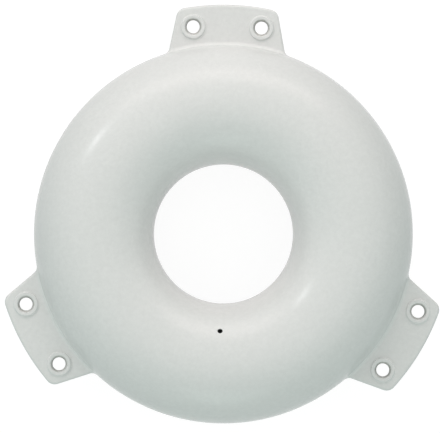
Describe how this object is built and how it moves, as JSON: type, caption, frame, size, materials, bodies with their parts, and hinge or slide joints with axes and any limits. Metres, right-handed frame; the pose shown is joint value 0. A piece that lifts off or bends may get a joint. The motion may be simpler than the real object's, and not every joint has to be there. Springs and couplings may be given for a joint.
{
  "type": "ring fender",
  "caption": "Inflated ring fender with a central hole, flat mounting tabs with rimmed eyelets, and a needle valve in its face.",
  "frame": {"origin": "centre of the ring, on the mid-plane that halves the tube and the tabs", "axes": "+Z along the ring's axis, out of the face with the valve; +Y towards the tab opposite the valve"},
  "size_m": [0.4356, 0.4199, 0.1204],
  "materials": {
    "vinyl": "semi-gloss soft white vinyl",
    "valve_rubber": "matt black rubber"
  },
  "bodies": {
    "root": {"fender_ring": "vinyl", "inflation_valve": "valve_rubber"}
  },
  "joints": []
}
